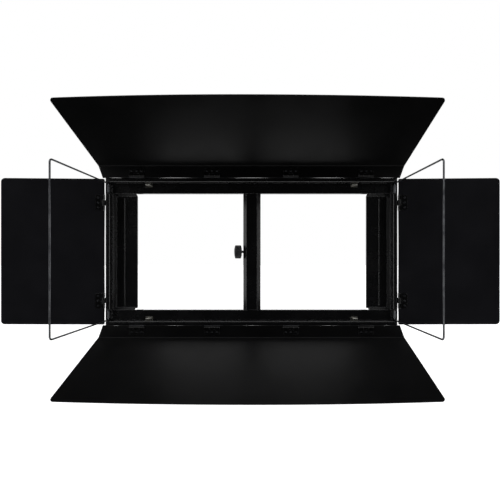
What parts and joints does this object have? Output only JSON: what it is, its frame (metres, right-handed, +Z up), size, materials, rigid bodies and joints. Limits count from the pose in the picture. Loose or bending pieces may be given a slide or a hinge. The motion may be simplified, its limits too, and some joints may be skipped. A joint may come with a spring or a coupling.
{
  "type": "barn door attachment",
  "caption": "Barn door attachment for a soft stage light: a two-window frame with hinged black leaves, fold-in wire bails that hold a gel, and a thumbscrew clamp.",
  "frame": {"origin": "centre of the rear plane, where the frame meets the lamp head", "axes": "+X to the right seen from the front, +Z up, -Y to the front, where the leaves open"},
  "size_m": [1.0536, 0.2363, 0.5482],
  "materials": {
    "frame_paint": "satin black powder coat on sheet steel",
    "leaf_paint": "satin black powder coat on sheet steel",
    "hinge_steel": "black painted steel, worn at the knuckles",
    "pin_steel": "plain turned steel",
    "rivet_steel": "blackened steel",
    "spring_steel": "bright spring steel",
    "wire_steel": "dark drawn steel wire",
    "knob_plastic": "moulded black plastic",
    "pad_rubber": "moulded black rubber"
  },
  "bodies": {
    "frame": {"top_rail": "frame_paint", "bottom_rail": "frame_paint", "left_rail": "frame_paint", "right_rail": "frame_paint", "left_side_plate": "frame_paint", "right_side_plate": "frame_paint", "centre_bar": "frame_paint", "nut_plate": "pin_steel", "frame_rivets": "rivet_steel", "top_left_clip": "spring_steel", "top_right_clip": "spring_steel", "bottom_left_clip": "spring_steel", "bottom_right_clip": "spring_steel", "top_left_barrel": "wire_steel", "top_right_barrel": "wire_steel", "bottom_left_barrel": "wire_steel", "bottom_right_barrel": "wire_steel", "top_hinge_1_frame_half": "hinge_steel", "top_hinge_2_frame_half": "hinge_steel", "top_hinge_3_frame_half": "hinge_steel", "top_hinge_4_frame_half": "hinge_steel", "bottom_hinge_1_frame_half": "hinge_steel", "bottom_hinge_2_frame_half": "hinge_steel", "bottom_hinge_3_frame_half": "hinge_steel", "bottom_hinge_4_frame_half": "hinge_steel", "left_hinge_1_frame_half": "hinge_steel", "left_hinge_2_frame_half": "hinge_steel", "right_hinge_1_frame_half": "hinge_steel", "right_hinge_2_frame_half": "hinge_steel"},
    "top_leaf": {"top_leaf": "leaf_paint", "top_hinge_1_leaf_half": "hinge_steel", "top_hinge_2_leaf_half": "hinge_steel", "top_hinge_3_leaf_half": "hinge_steel", "top_hinge_4_leaf_half": "hinge_steel", "top_hinge_pins": "pin_steel", "top_leaf_rivets": "rivet_steel"},
    "bottom_leaf": {"bottom_leaf": "leaf_paint", "bottom_hinge_1_leaf_half": "hinge_steel", "bottom_hinge_2_leaf_half": "hinge_steel", "bottom_hinge_3_leaf_half": "hinge_steel", "bottom_hinge_4_leaf_half": "hinge_steel", "bottom_hinge_pins": "pin_steel", "bottom_leaf_rivets": "rivet_steel"},
    "left_leaf": {"left_leaf": "leaf_paint", "left_hinge_1_leaf_half": "hinge_steel", "left_hinge_2_leaf_half": "hinge_steel", "left_hinge_pins": "pin_steel", "left_leaf_rivets": "rivet_steel"},
    "right_leaf": {"right_leaf": "leaf_paint", "right_hinge_1_leaf_half": "hinge_steel", "right_hinge_2_leaf_half": "hinge_steel", "right_hinge_pins": "pin_steel", "right_leaf_rivets": "rivet_steel"},
    "left_bail": {"left_bail": "wire_steel"},
    "right_bail": {"right_bail": "wire_steel"},
    "clamp_pad": {"clamp_pad": "pad_rubber"},
    "clamp_knob": {"clamp_knob": "knob_plastic", "clamp_screw": "pin_steel"}
  },
  "joints": [
    {"name": "top_leaf_hinge", "type": "hinge", "parent": "frame", "child": "top_leaf", "pos_m": [0, -0.0475, 0.172], "axis": [1, 0, 0], "range_deg": [-65, 30]},
    {"name": "bottom_leaf_hinge", "type": "hinge", "parent": "frame", "child": "bottom_leaf", "pos_m": [0, -0.0475, -0.172], "axis": [-1, 0, 0], "range_deg": [-65, 30]},
    {"name": "left_leaf_hinge", "type": "hinge", "parent": "frame", "child": "left_leaf", "pos_m": [-0.336, -0.044, 0], "axis": [0, 0, 1], "range_deg": [-16, 70]},
    {"name": "right_leaf_hinge", "type": "hinge", "parent": "frame", "child": "right_leaf", "pos_m": [0.336, -0.044, 0], "axis": [0, 0, -1], "range_deg": [-16, 70]},
    {"name": "left_bail_pivot", "type": "hinge", "parent": "frame", "child": "left_bail", "pos_m": [-0.326, -0.041, 0], "axis": [0, 0, 1], "range_deg": [0, 93]},
    {"name": "right_bail_pivot", "type": "hinge", "parent": "frame", "child": "right_bail", "pos_m": [0.326, -0.041, 0], "axis": [0, 0, -1], "range_deg": [0, 93]},
    {"name": "clamp_travel", "type": "slide", "parent": "frame", "child": "clamp_pad", "axis": [1, 0, 0], "range_m": [-0.0061, 0.0036]},
    {"name": "knob_spin", "type": "hinge", "parent": "clamp_pad", "child": "clamp_knob", "pos_m": [-0.03, -0.016, 0], "axis": [1, 0, 0], "range_deg": [-2160, 1260]}
  ],
  "couplings": [
    {"joint": "clamp_travel", "follows": "knob_spin", "m_per_rad": 0.00015915}
  ]
}
